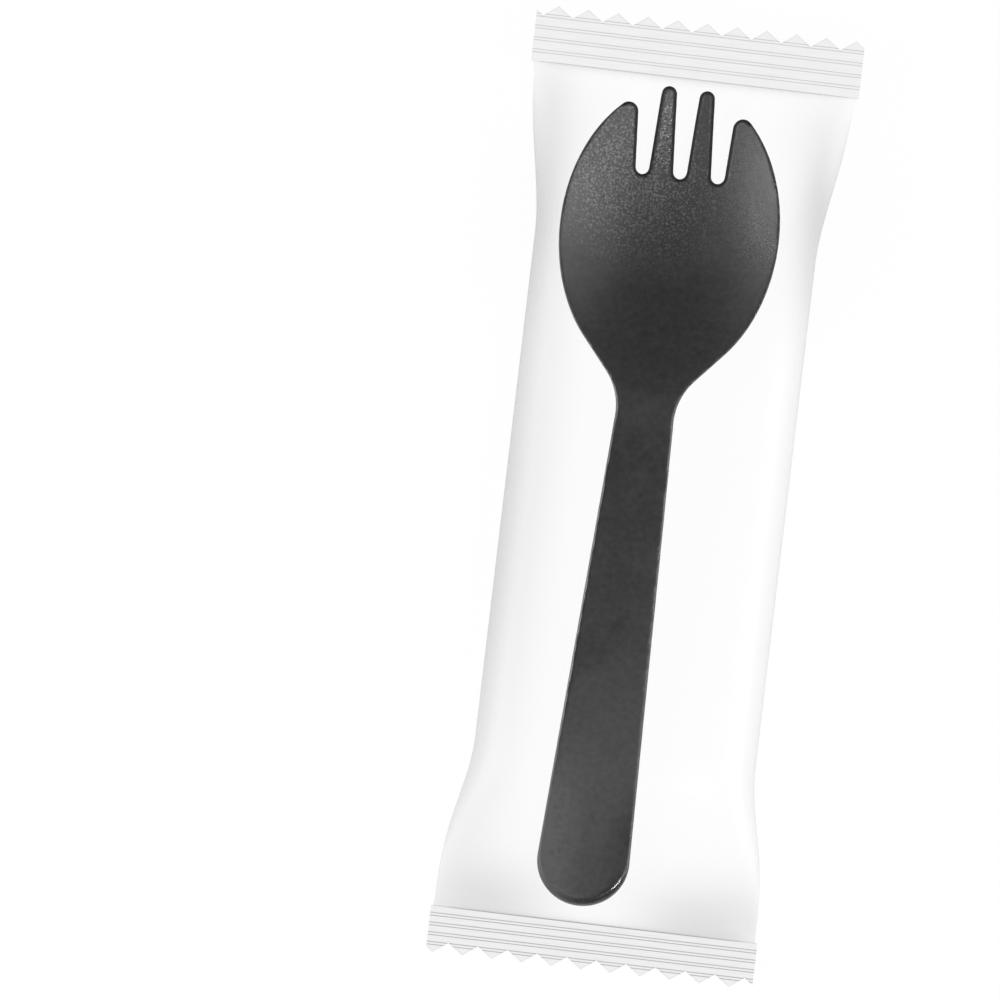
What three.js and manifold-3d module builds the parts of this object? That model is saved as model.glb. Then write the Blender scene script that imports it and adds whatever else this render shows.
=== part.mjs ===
// A wrapped disposable spork: one black moulded spork in a clear, crimped film pack.
// Millimetres, +Z up. The pack lies on its back at z = 0, with +Y along it towards the tines.

import * as THREE from 'three';
import { mergeVertices } from 'three/addons/utils/BufferGeometryUtils.js';
import Module from 'manifold-3d';

// Spork outline, with stations measured along it from the end of its handle
const sporkLength = 160.4;
const handleEndRadius = 9.0;
const neckHalfWidth = 5.72;
const neckToBowlCentre = 36.3;
const neckFillet = 12;
const flankAngle = 49.4;
const bowlHalfWidth = 21.3;
const bowlBack = 29.2;
const bowlFront = 28.8;
const tipTrim = 0.7;

// Spork section
const wall = 1.35;
const bowlDepth = 6.5;
const rimSlope = 0.03;
const neckHeight = 9.2;
const neckBlend = 2.0;
const handleFlange = 2.9;
const handleCrown = 0.5;
const handleEdgeRound = 1.3;
const bowlEdgeRound = 0.45;
const flangeWall = 1.3;
const flangeStep = 0.15;
const flangeFadeBeforeNeck = 6;
const flangeFadeLength = 24;

// Slots and tine tips
const slotLength = 17.4;
const slotSpacing = 7.4;
const slotShift = 0.6;
const slotLean = -0.033;
const slotRootRadius = 1.32;
const slotGrowth = 0.059;
const lobeTipRadius = 1.85;

// Place of the spork in the pack
const handleEndGap = 3.1;
const tineEndGap = 1.8;
const restGap = 0.3;
const handleEndAcross = -3.75;
const sporkTurnDegrees = -1;

// Film, and the girth of its tube pressed flat
const filmThickness = 0.05;
const girthSlack = 21.4;

// Crimped end seals: depth from the inner line to the tooth roots, and ribs between
const tineSealDepth = 9.0;
const tineFirstRib = 2.1;
const tineLastRibPastRoots = 0.03;
const tineSealBelowTips = 1.1;
const handleSealDepth = 6.95;
const handleFirstRib = 1.67;
const handleLastRibPastRoots = 0.39;
const ribCount = 4;
const ribWidth = 0.55;
const ribRise = 0.22;
const ribFlank = 0.1;

// Zigzag cut of both ends, made by the same knife
const toothPitch = 5.81;
const toothDepth = 2.15;
const firstToothInset = 4.2;

// Pillow that the film makes between its seals
const airAboveNeck = 8.0;
const widestHeight = 7.7;
const topFullness = 4.4;
const mouthLength = 0.8;
const tineShoulder = 33;
const tineMouthAbove = 3.8;
const tineMouthBelow = 2.9;
const tineContact = 22;
const handleShoulder = 34;
const handleMouthAbove = 2.6;
const handleMouthBelow = 1.7;
const handleContact = 3.2;

// Lap seam and vent prick in the back of the film
const seamWidth = 6;
const seamMargin = 1;
const ventDiameter = 0.8;
const ventFromSeam = 3;
const ventFromHandleEnd = 58;

// Smoothness of the curved surfaces
const endArcSteps = 8;
const handleRows = 9;
const filletSteps = 5;
const flankRows = 2;
const bowlBackRows = 7;
const bowlFrontSteps = 12;
const innerColumns = 4;
const tipSteps = 6;
const tipTrials = 40;
const sectionTopSteps = 8;
const sectionCornerSteps = 5;
const shoulderRings = 5;
const mouthRings = [0.25, 0.6, 1.1, 1.9, 3.2, 5.5, 9];
const ventSides = 8;
const girthTrials = 40;

// Small overlaps and reaches that the joins and cuts need
const bandOverlap = 0.2;
const hollowStart = 0.1;
const hiddenEdge = 0.03;
const cutterReach = 12;

// Stations and heights that follow from the sizes above
const bowlCentre = sporkLength + tipTrim - bowlFront;
const neckStation = bowlCentre - neckToBowlCentre;
const slotRootCentre = sporkLength - slotLength + slotRootRadius;
const restHeight = 2 * filmThickness + restGap;
const tipHeight = restHeight + wall + bowlDepth - rimSlope * bowlFront;
const flatWidth = 2 * bowlHalfWidth + girthSlack;
const pillowHeight = restHeight + neckHeight + airAboveNeck;
const filmBetweenSeals = handleEndGap + sporkLength + tineEndGap;
const overallLength = toothDepth + tineSealDepth + filmBetweenSeals + handleSealDepth + toothDepth;
const tineSealLine = overallLength / 2 - toothDepth - tineSealDepth;
const handleSealLine = tineSealLine - filmBetweenSeals;
const firstToothTip = firstToothInset - flatWidth / 2;

const tineEnd = {
  line: tineSealLine,
  outward: 1,
  height: tipHeight - tineSealBelowTips,
  depth: tineSealDepth,
  firstRib: tineFirstRib,
  lastRib: tineSealDepth + tineLastRibPastRoots,
  shoulder: tineShoulder,
  mouthAbove: tineMouthAbove,
  mouthBelow: tineMouthBelow,
  contact: tineContact,
};

const handleEnd = {
  line: handleSealLine,
  outward: -1,
  height: restHeight + handleFlange / 2,
  depth: handleSealDepth,
  firstRib: handleFirstRib,
  lastRib: handleSealDepth + handleLastRibPastRoots,
  shoulder: handleShoulder,
  mouthAbove: handleMouthAbove,
  mouthBelow: handleMouthBelow,
  contact: handleContact,
};

const wasm = await Module();
wasm.setup();

// A closed solid for cutting and joining, from any closed geometry
function solidOf(geometry) {
  const bare = new THREE.BufferGeometry();
  bare.setAttribute('position', geometry.getAttribute('position'));
  bare.setIndex(geometry.getIndex());
  const merged = mergeVertices(bare, 1e-5);
  const index = merged.getIndex().array;
  const kept = [];
  for (let i = 0; i < index.length; i += 3) {
    const [a, b, c] = [index[i], index[i + 1], index[i + 2]];
    if (a !== b && b !== c && c !== a) {
      kept.push(a, b, c);
    }
  }
  return new wasm.Manifold(new wasm.Mesh({
    numProp: 3,
    vertProperties: new Float32Array(merged.getAttribute('position').array),
    triVerts: new Uint32Array(kept),
  }));
}

function geometryOf(solid) {
  const mesh = solid.getMesh();
  const geometry = new THREE.BufferGeometry();
  geometry.setAttribute('position', new THREE.BufferAttribute(mesh.vertProperties, 3));
  geometry.setIndex(new THREE.BufferAttribute(mesh.triVerts, 1));
  geometry.computeVertexNormals();
  return geometry;
}

function geometryFrom(points, faces) {
  const geometry = new THREE.BufferGeometry();
  const positions = points.flatMap((point) => [point.x, point.y, point.z]);
  geometry.setAttribute('position', new THREE.Float32BufferAttribute(positions, 3));
  geometry.setIndex(faces.flat());
  return geometry;
}

// A skin through rings of equal count, closed by a fan at each end
function loft(rings) {
  const count = rings[0].length;
  const points = rings.flat();
  const faces = [];
  for (let row = 0; row < rings.length - 1; row += 1) {
    for (let k = 0; k < count; k += 1) {
      const a = row * count + k;
      const b = row * count + (k + 1) % count;
      faces.push([b, a, a + count], [b, a + count, b + count]);
    }
  }
  const lastRow = (rings.length - 1) * count;
  const firstHub = points.push(centreOf(rings[0])) - 1;
  const lastHub = points.push(centreOf(rings[rings.length - 1])) - 1;
  for (let k = 0; k < count; k += 1) {
    const next = (k + 1) % count;
    faces.push([k, next, firstHub], [lastRow + next, lastRow + k, lastHub]);
  }
  return geometryFrom(points, faces);
}

function centreOf(ring) {
  const box = new THREE.Box3().setFromPoints(ring);
  return box.getCenter(new THREE.Vector3());
}

function easeInOut(share) {
  const t = THREE.MathUtils.clamp(share, 0, 1);
  return t * t * (3 - 2 * t);
}

// Heights of the film at a station along the pack, and how far its section has filled out
function pillowAt(y) {
  const toTines = Math.max(tineSealLine - y, 0);
  const toHandle = Math.max(y - handleSealLine, 0);
  const nearTines = toTines / tineShoulder < toHandle / handleShoulder;
  return nearTines ? pillowNear(tineEnd, toTines) : pillowNear(handleEnd, toHandle);
}

// The mouth opens at once next to the seal, and then the shoulder swells to the full pillow
function pillowNear(end, distance) {
  const opened = 1 - Math.exp(-distance / mouthLength);
  const filled = easeInOut(distance / end.shoulder);
  const offFloor = Math.max(1 - distance / end.contact, 0) ** 2;
  const widest = THREE.MathUtils.lerp(end.height, widestHeight, filled);
  const mouthCrest = end.height + end.mouthAbove * opened;
  const crest = mouthCrest + (pillowHeight - end.height - end.mouthAbove) * filled;
  const lowest = (end.height - end.mouthBelow * opened) * offFloor;
  return { widest, below: widest - lowest, above: crest - widest, filled };
}

// The film tube keeps its girth, so a section's half width follows from its heights
function sectionHalf(halfWidth, station) {
  const { widest, below, above, filled } = station;
  const flattest = halfWidth - seamWidth / 2 - seamMargin;
  const corner = THREE.MathUtils.lerp(flattest, below, filled);
  const fullness = THREE.MathUtils.lerp(2, topFullness, filled);
  const points = [];
  for (let k = 0; k <= sectionCornerSteps; k += 1) {
    const turn = (Math.PI / 2) * k / sectionCornerSteps;
    const x = halfWidth - corner + corner * Math.sin(turn);
    points.push(new THREE.Vector2(x, widest - below * Math.cos(turn)));
  }
  for (let k = 1; k < sectionTopSteps; k += 1) {
    const turn = (Math.PI / 2) * (1 - k / sectionTopSteps);
    const x = halfWidth * Math.sin(turn) ** (2 / fullness);
    points.push(new THREE.Vector2(x, widest + above * Math.cos(turn)));
  }
  points.push(new THREE.Vector2(0, widest + above));
  return points;
}

function girth(points) {
  let total = points[0].x;
  for (let k = 1; k < points.length; k += 1) {
    total += points[k].distanceTo(points[k - 1]);
  }
  return 2 * total;
}

function halfWidthFor(station) {
  let [narrow, wide] = [0, flatWidth / 2];
  for (let step = 0; step < girthTrials; step += 1) {
    const middle = (narrow + wide) / 2;
    if (girth(sectionHalf(middle, station)) < 2 * flatWidth) {
      narrow = middle;
    } else {
      wide = middle;
    }
  }
  return (narrow + wide) / 2;
}

// One ring of the film, set in from its outer face
function filmRing(y, inset) {
  const station = pillowAt(y);
  const halfWidth = halfWidthFor(station);
  const below = Math.max(station.below - inset, hiddenEdge);
  const above = Math.max(station.above - inset, hiddenEdge);
  const right = sectionHalf(halfWidth - inset, { ...station, below, above });
  const left = right.slice(0, -1).reverse();
  const ring = right.map((point) => new THREE.Vector3(point.x, y, point.y));
  return ring.concat(left.map((point) => new THREE.Vector3(-point.x, y, point.y)));
}

// Stations are close together at the mouth of each seal, where the film opens fastest
function filmStations() {
  const lastMouth = mouthRings[mouthRings.length - 1];
  const fromTines = mouthRings.map((distance) => tineSealLine - distance);
  const fromHandle = mouthRings.map((distance) => handleSealLine + distance);
  for (let k = 1; k <= shoulderRings; k += 1) {
    const share = k / shoulderRings;
    fromTines.push(tineSealLine - THREE.MathUtils.lerp(lastMouth, tineShoulder, share));
    fromHandle.push(handleSealLine + THREE.MathUtils.lerp(lastMouth, handleShoulder, share));
  }
  return [...fromHandle, ...fromTines.reverse()];
}

function pillow(inset, endInset) {
  const stations = [handleSealLine + endInset, ...filmStations(), tineSealLine - endInset];
  return solidOf(loft(stations.map((y) => filmRing(y, inset))));
}

// The lap of the back seam, one more layer of film inside the tube
function backSeam() {
  const reach = seamWidth / 2;
  const rings = filmStations().map((y) => {
    const { widest, below } = pillowAt(y);
    const face = widest - below;
    return [
      new THREE.Vector3(-reach, y, face + 2 * filmThickness),
      new THREE.Vector3(-reach, y, face + filmThickness / 2),
      new THREE.Vector3(reach, y, face + filmThickness / 2),
      new THREE.Vector3(reach, y, face + 2 * filmThickness),
    ];
  });
  return solidOf(loft(rings));
}

// Both ends are cut by the same zigzag knife, so roots at one end face tips at the other
function zigzag(rootLine) {
  const reach = flatWidth / 2;
  const halfPitch = toothPitch / 2;
  const first = Math.ceil((-reach - firstToothTip) / halfPitch);
  const last = Math.floor((reach - firstToothTip) / halfPitch);
  const across = [-reach];
  for (let k = first; k <= last; k += 1) {
    across.push(firstToothTip + k * halfPitch);
  }
  across.push(reach);
  return across.map((x) => {
    const turns = (x - firstToothTip) / toothPitch;
    const fromTip = Math.abs(turns - Math.round(turns));
    return new THREE.Vector2(x, rootLine + toothDepth * (1 - 2 * fromTip));
  });
}

function packOutline() {
  const handleTeeth = zigzag(handleSealLine - handleSealDepth - toothDepth);
  const tineTeeth = zigzag(tineSealLine + tineSealDepth);
  const shape = new THREE.Shape([...handleTeeth, ...tineTeeth.reverse()]);
  const depth = 2 * pillowHeight;
  const geometry = new THREE.ExtrudeGeometry(shape, { depth, bevelEnabled: false });
  return solidOf(geometry.translate(0, 0, -depth / 2));
}

// Corrugated band of two fused layers, drawn along the pack and extruded across it
function sealBand(end) {
  const spacing = (end.lastRib - end.firstRib) / (ribCount - 1);
  const centreLine = [new THREE.Vector2(0, 0)];
  for (let rib = 0; rib < ribCount; rib += 1) {
    const middle = end.firstRib + rib * spacing;
    centreLine.push(new THREE.Vector2(middle - ribWidth / 2 - ribFlank, 0));
    centreLine.push(new THREE.Vector2(middle - ribWidth / 2 + ribFlank, ribRise));
    centreLine.push(new THREE.Vector2(middle + ribWidth / 2 - ribFlank, ribRise));
    centreLine.push(new THREE.Vector2(middle + ribWidth / 2 + ribFlank, 0));
  }
  centreLine.push(new THREE.Vector2(end.lastRib + 2 * toothDepth, 0));
  const face = (side) => centreLine.map((point) => new THREE.Vector2(
    end.line + end.outward * point.x,
    end.height + point.y + side * filmThickness,
  ));
  const shape = new THREE.Shape([...face(-1), ...face(1).reverse()]);
  const geometry = new THREE.ExtrudeGeometry(shape, { depth: flatWidth, bevelEnabled: false });
  const turned = new THREE.Matrix4().makeBasis(
    new THREE.Vector3(0, 1, 0),
    new THREE.Vector3(0, 0, 1),
    new THREE.Vector3(1, 0, 0),
  );
  return solidOf(geometry.applyMatrix4(turned).translate(-flatWidth / 2, 0, 0));
}

function ventPrick() {
  const radius = ventDiameter / 2;
  const geometry = new THREE.CylinderGeometry(radius, radius, widestHeight, ventSides);
  const across = -seamWidth / 2 - ventFromSeam;
  const along = handleSealLine + handleEndGap + ventFromHandleEnd;
  return solidOf(geometry.rotateX(Math.PI / 2).translate(across, along, 0));
}

function filmWrapper() {
  const closed = pillow(0, -bandOverlap).add(sealBand(tineEnd)).add(sealBand(handleEnd));
  const hollow = pillow(filmThickness, hollowStart).subtract(backSeam());
  return closed.intersect(packOutline()).subtract(hollow).subtract(ventPrick());
}

// Taper, fillet and flank of the neck, from the tangents that join the end arc to the bowl
function neckTangents() {
  const fromEnd = new THREE.Vector2(neckHalfWidth, neckStation - handleEndRadius);
  const taperNormal = fromEnd.angle() - Math.acos(handleEndRadius / fromEnd.length());
  const flank = THREE.MathUtils.degToRad(flankAngle);
  const bowlTurn = -Math.atan2(bowlBack, bowlHalfWidth * Math.tan(flank));
  const bowlTangent = bowlPoint(bowlTurn);
  const across = new THREE.Vector2(Math.cos(taperNormal), Math.sin(taperNormal));
  const aside = new THREE.Vector2(Math.sin(flank), -Math.cos(flank));
  const reachTaper = neckFillet + across.dot(new THREE.Vector2(neckHalfWidth, neckStation));
  const reachFlank = neckFillet + aside.dot(bowlTangent);
  const scale = across.x * aside.y - across.y * aside.x;
  const filletCentre = new THREE.Vector2(
    (reachTaper * aside.y - reachFlank * across.y) / scale,
    (reachFlank * across.x - reachTaper * aside.x) / scale,
  );
  return { taperNormal, flank, bowlTurn, bowlTangent, filletCentre };
}

function bowlPoint(turn) {
  const length = turn < 0 ? bowlBack : bowlFront;
  return new THREE.Vector2(bowlHalfWidth * Math.cos(turn), bowlCentre + length * Math.sin(turn));
}

// Right edge of the spork from handle to tines, each point with the axis point its row runs to
function edgeStations() {
  const { taperNormal, flank, bowlTurn, bowlTangent, filletCentre } = neckTangents();
  const stations = [];
  const addRow = (point) => stations.push({ edge: point, hub: new THREE.Vector2(0, point.y) });
  const endCentre = new THREE.Vector2(0, handleEndRadius);
  const onCircle = (centre, radius, turn) => new THREE.Vector2(
    centre.x + radius * Math.cos(turn),
    centre.y + radius * Math.sin(turn),
  );
  for (let k = 0; k <= endArcSteps; k += 1) {
    const turn = THREE.MathUtils.lerp(-Math.PI / 2, taperNormal, k / endArcSteps);
    stations.push({ edge: onCircle(endCentre, handleEndRadius, turn), hub: endCentre });
  }
  const taperStart = stations[stations.length - 1].edge;
  const taperEnd = onCircle(filletCentre, neckFillet, taperNormal + Math.PI);
  for (let k = 1; k <= handleRows; k += 1) {
    addRow(taperStart.clone().lerp(taperEnd, k / handleRows));
  }
  for (let k = 1; k <= filletSteps; k += 1) {
    const turn = THREE.MathUtils.lerp(taperNormal + Math.PI, flank + Math.PI / 2, k / filletSteps);
    addRow(onCircle(filletCentre, neckFillet, turn));
  }
  const flankStart = stations[stations.length - 1].edge;
  for (let k = 1; k <= flankRows; k += 1) {
    addRow(flankStart.clone().lerp(bowlTangent, k / flankRows));
  }
  for (let k = 1; k <= bowlBackRows; k += 1) {
    addRow(bowlPoint(bowlTurn * (1 - k / bowlBackRows)));
  }
  for (let k = 1; k <= bowlFrontSteps; k += 1) {
    const edge = bowlPoint((Math.PI / 2) * (k / bowlFrontSteps));
    stations.push({ edge, hub: new THREE.Vector2(0, bowlCentre) });
  }
  return stations;
}

function intoBowl(station) {
  return easeInOut((station - neckStation + flangeFadeBeforeNeck) / flangeFadeLength);
}

function deckHeight(station) {
  const climb = Math.min(station / neckStation, 1);
  return handleFlange + (neckHeight - handleFlange) * (1 - Math.cos(Math.PI * climb)) / 2;
}

function dishHeight(x, station) {
  const length = station < bowlCentre ? bowlBack : bowlFront;
  const outFrom = (x / bowlHalfWidth) ** 2 + ((station - bowlCentre) / length) ** 2;
  return wall + bowlDepth * outFrom - rimSlope * (station - bowlCentre);
}

// Upper face: the handle's crowned deck runs into the dish of the bowl with a soft blend
function upperHeight(x, station) {
  const crown = handleCrown * (1 - intoBowl(station)) * (x / handleEndRadius) ** 2;
  const deck = deckHeight(station) - crown;
  const dish = dishHeight(x, station);
  const overlap = Math.max(neckBlend - Math.abs(deck - dish), 0);
  return Math.min(deck, dish) - overlap ** 2 / (4 * neckBlend);
}

function edgeDrop(fromEdge, station) {
  const radius = THREE.MathUtils.lerp(handleEdgeRound, bowlEdgeRound, intoBowl(station));
  const short = Math.max(radius - fromEdge, 0);
  return radius - Math.sqrt(radius ** 2 - short ** 2);
}

function lowerHeight(x, station, fromEdge) {
  const plain = upperHeight(x, station) - wall;
  const skirt = deckHeight(station) - handleFlange;
  return fromEdge > flangeWall ? plain : THREE.MathUtils.lerp(skirt, plain, intoBowl(station));
}

// Columns of one row: some at set distances from the edge, the rest sharing what is left
function rowColumns({ edge, hub }) {
  const row = hub.distanceTo(edge);
  const columns = [0, handleEdgeRound / 6, handleEdgeRound / 2, flangeWall, flangeWall + flangeStep];
  const start = columns[columns.length - 1];
  for (let k = 1; k <= innerColumns; k += 1) {
    columns.push(THREE.MathUtils.lerp(start, row, k / innerColumns));
  }
  return columns.map((fromEdge) => {
    const point = edge.clone().lerp(hub, fromEdge / row);
    const upper = upperHeight(point.x, point.y) - edgeDrop(fromEdge, point.y);
    return { point, upper, lower: lowerHeight(point.x, point.y, fromEdge) };
  });
}

function sporkSheet() {
  const rows = edgeStations().map(rowColumns);
  const columnCount = rows[0].length;
  const points = [];
  const faces = [];
  for (const side of [1, -1]) {
    const base = points.length;
    for (const row of rows) {
      for (const { point, upper, lower } of row) {
        points.push(new THREE.Vector3(side * point.x, point.y, upper));
        points.push(new THREE.Vector3(side * point.x, point.y, lower));
      }
    }
    const addQuad = (a, b, c, d) => {
      const loop = side > 0 ? [a, b, c, d] : [d, c, b, a];
      faces.push([loop[0], loop[1], loop[2]], [loop[0], loop[2], loop[3]]);
    };
    for (let r = 0; r < rows.length - 1; r += 1) {
      const at = (row, column, under) => base + 2 * (row * columnCount + column) + under;
      addQuad(at(r, 0, 1), at(r + 1, 0, 1), at(r + 1, 0, 0), at(r, 0, 0));
      for (let c = 0; c < columnCount - 1; c += 1) {
        addQuad(at(r, c, 0), at(r + 1, c, 0), at(r + 1, c + 1, 0), at(r, c + 1, 0));
        addQuad(at(r, c, 1), at(r, c + 1, 1), at(r + 1, c + 1, 1), at(r + 1, c, 1));
      }
    }
  }
  return solidOf(geometryFrom(points, faces));
}

function slotHalfWidth(station) {
  return slotRootRadius + slotGrowth * (station - slotRootCentre);
}

function slotMiddle(station) {
  return slotShift + slotLean * (station - slotRootCentre);
}

function tineTip(side) {
  const radius = (slotSpacing / 2 - slotHalfWidth(sporkLength)) / (1 - slotGrowth);
  const y = sporkLength - radius;
  return { x: slotMiddle(y) + side * slotSpacing / 2, y, radius, leave: Math.PI / 2 };
}

// Round tip of an outer lobe: it touches the slot's wall and the outline of the bowl
function lobeTip(side) {
  const radius = lobeTipRadius;
  const touching = (turn) => {
    const leave = Math.atan2(Math.sin(turn) / bowlFront, Math.cos(turn) / bowlHalfWidth);
    const across = bowlHalfWidth * Math.cos(turn) - radius * Math.cos(leave);
    const y = bowlCentre + bowlFront * Math.sin(turn) - radius * Math.sin(leave);
    return { leave, across, y };
  };
  let low = 0.3;
  let high = 1.4;
  for (let trial = 0; trial < tipTrials; trial += 1) {
    const middle = (low + high) / 2;
    const { across, y } = touching(middle);
    if (across > slotSpacing + slotHalfWidth(y) + radius + side * slotMiddle(y)) low = middle;
    else high = middle;
  }
  const { leave, across, y } = touching(low);
  return { x: side * across, y, radius, leave };
}

// Cutter for one slot, which also rounds the tips on its two sides
function slotCutter(across, left, right) {
  const shape = new THREE.Shape();
  shape.moveTo(across + slotRootRadius, slotRootCentre);
  shape.lineTo(right.x - right.radius, right.y);
  shape.absarc(right.x, right.y, right.radius, Math.PI, right.leave, true);
  const reach = cutterReach;
  shape.lineTo(right.x + reach * Math.cos(right.leave), right.y + reach * Math.sin(right.leave));
  shape.lineTo(left.x - reach * Math.cos(left.leave), left.y + reach * Math.sin(left.leave));
  shape.absarc(left.x, left.y, left.radius, Math.PI - left.leave, 0, true);
  shape.lineTo(across - slotRootRadius, slotRootCentre);
  shape.absarc(across, slotRootCentre, slotRootRadius, Math.PI, 2 * Math.PI, false);
  const depth = 2 * neckHeight;
  const geometry = new THREE.ExtrudeGeometry(shape, { depth, bevelEnabled: false, curveSegments: tipSteps });
  return solidOf(geometry.translate(0, 0, -depth / 4));
}

function spork() {
  const [leftTine, rightTine] = [-1, 1].map(tineTip);
  const [leftLobe, rightLobe] = [-1, 1].map(lobeTip);
  return sporkSheet()
    .subtract(slotCutter(slotShift, leftTine, rightTine))
    .subtract(slotCutter(slotShift + slotSpacing, rightTine, rightLobe))
    .subtract(slotCutter(slotShift - slotSpacing, leftLobe, leftTine));
}

function namedMesh(name, solid, material) {
  const mesh = new THREE.Mesh(geometryOf(solid), new THREE.MeshStandardMaterial(material));
  mesh.name = name;
  return mesh;
}

const clearFilm = { color: 0xf4f6f7, roughness: 0.12, metalness: 0, transparent: true, opacity: 0.3 };
const blackPlastic = { color: 0x2b2b2d, roughness: 0.42, metalness: 0 };

const wrapperMesh = namedMesh('film_wrapper', filmWrapper(), clearFilm);
const sporkMesh = namedMesh('spork', spork(), blackPlastic);
sporkMesh.position.set(handleEndAcross, handleSealLine + handleEndGap, restHeight);
sporkMesh.rotation.z = THREE.MathUtils.degToRad(sporkTurnDegrees);

const pack = new THREE.Group();
pack.add(wrapperMesh, sporkMesh);

export default pack;
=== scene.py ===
from math import acos, atan2, cos, exp, hypot, pi, radians, sin, sqrt
import bpy
import bmesh
import numpy as np
from mathutils import Matrix, Vector


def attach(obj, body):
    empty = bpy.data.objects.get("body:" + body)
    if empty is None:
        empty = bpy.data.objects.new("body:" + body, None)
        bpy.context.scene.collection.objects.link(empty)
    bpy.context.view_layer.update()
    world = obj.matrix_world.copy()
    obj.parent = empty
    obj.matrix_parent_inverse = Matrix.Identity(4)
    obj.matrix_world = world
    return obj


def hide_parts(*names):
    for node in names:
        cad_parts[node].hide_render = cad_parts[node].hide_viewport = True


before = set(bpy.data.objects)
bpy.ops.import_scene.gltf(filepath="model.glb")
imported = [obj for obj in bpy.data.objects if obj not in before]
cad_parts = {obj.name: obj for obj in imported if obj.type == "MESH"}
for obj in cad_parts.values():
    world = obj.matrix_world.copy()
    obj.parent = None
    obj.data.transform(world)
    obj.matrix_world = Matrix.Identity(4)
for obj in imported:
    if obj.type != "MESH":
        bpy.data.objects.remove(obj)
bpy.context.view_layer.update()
mm = 0.001
scene = bpy.context.scene
scene.view_settings.view_transform = "Standard"


def deselectAll():
    bpy.ops.object.select_all(action="DESELECT")


def selectOnly(piece):
    deselectAll()
    piece.select_set(True)
    bpy.context.view_layer.objects.active = piece


def addGrid(name, across, along):
    deselectAll()
    bpy.ops.mesh.primitive_grid_add(x_subdivisions=across, y_subdivisions=along, size=1)
    piece = bpy.context.object
    piece.name = name
    piece.data.name = name
    return piece


def editMode(piece, *steps):
    selectOnly(piece)
    bpy.ops.object.mode_set(mode="EDIT")
    bpy.ops.mesh.select_all(action="SELECT")
    for step in steps:
        step()
    bpy.ops.mesh.select_all(action="SELECT")
    bpy.ops.mesh.normals_make_consistent(inside=False)
    bpy.ops.object.mode_set(mode="OBJECT")


def applyModifier(piece, kind, **settings):
    selectOnly(piece)
    modifier = piece.modifiers.new(kind.title(), kind)
    for key, value in settings.items():
        setattr(modifier, key, value)
    bpy.ops.object.modifier_apply(modifier=modifier.name)


def cut(piece, cutter, operation):
    applyModifier(piece, "BOOLEAN", operation=operation, object=cutter, solver="MANIFOLD")
    bpy.data.objects.remove(cutter)


def clamp(value):
    return min(max(value, 0), 1)


def easeInOut(share):
    t = clamp(share)
    return t * t * (3 - 2 * t)


def mix(a, b, share):
    return a + (b - a) * share


def readPoints(piece):
    points = np.empty(3 * len(piece.data.vertices))
    piece.data.vertices.foreach_get("co", points)
    return points.reshape(-1, 3)


def movePoints(piece, points):
    piece.data.vertices.foreach_set("co", np.array(points, np.float32).ravel())


# One number per point, which a material reads by its name
def markPoints(piece, name, values):
    piece.data.attributes.new(name, "FLOAT", "POINT").data.foreach_set("value", values)


# Camera straight above, on a long lens, turned so that the pack leans to the right
camera = {
    "lens": 200,
    "sensor": 36,
    "viewWidth": 193.9,
    "turn": 6.75,
    "packRightOfCentre": 28.2,
    "packAboveCentre": 0.45,
    "focusHeight": 7,
    "clipStart": 0.01,
    "clipEnd": 50,
}


def addCamera():
    turn = radians(camera["turn"])
    right = Vector((cos(turn), sin(turn), 0))
    up = Vector((-sin(turn), cos(turn), 0))
    distance = camera["viewWidth"] * camera["lens"] / camera["sensor"]
    place = -camera["packRightOfCentre"] * right - camera["packAboveCentre"] * up
    place.z = camera["focusHeight"] + distance
    bpy.ops.object.camera_add(location=place * mm, rotation=(0, 0, turn))
    eye = bpy.context.object
    eye.name = "camera"
    eye.data.lens = camera["lens"]
    eye.data.sensor_width = camera["sensor"]
    eye.data.clip_start = camera["clipStart"]
    eye.data.clip_end = camera["clipEnd"]
    scene.camera = eye


addCamera()
print("camera placed")


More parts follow.
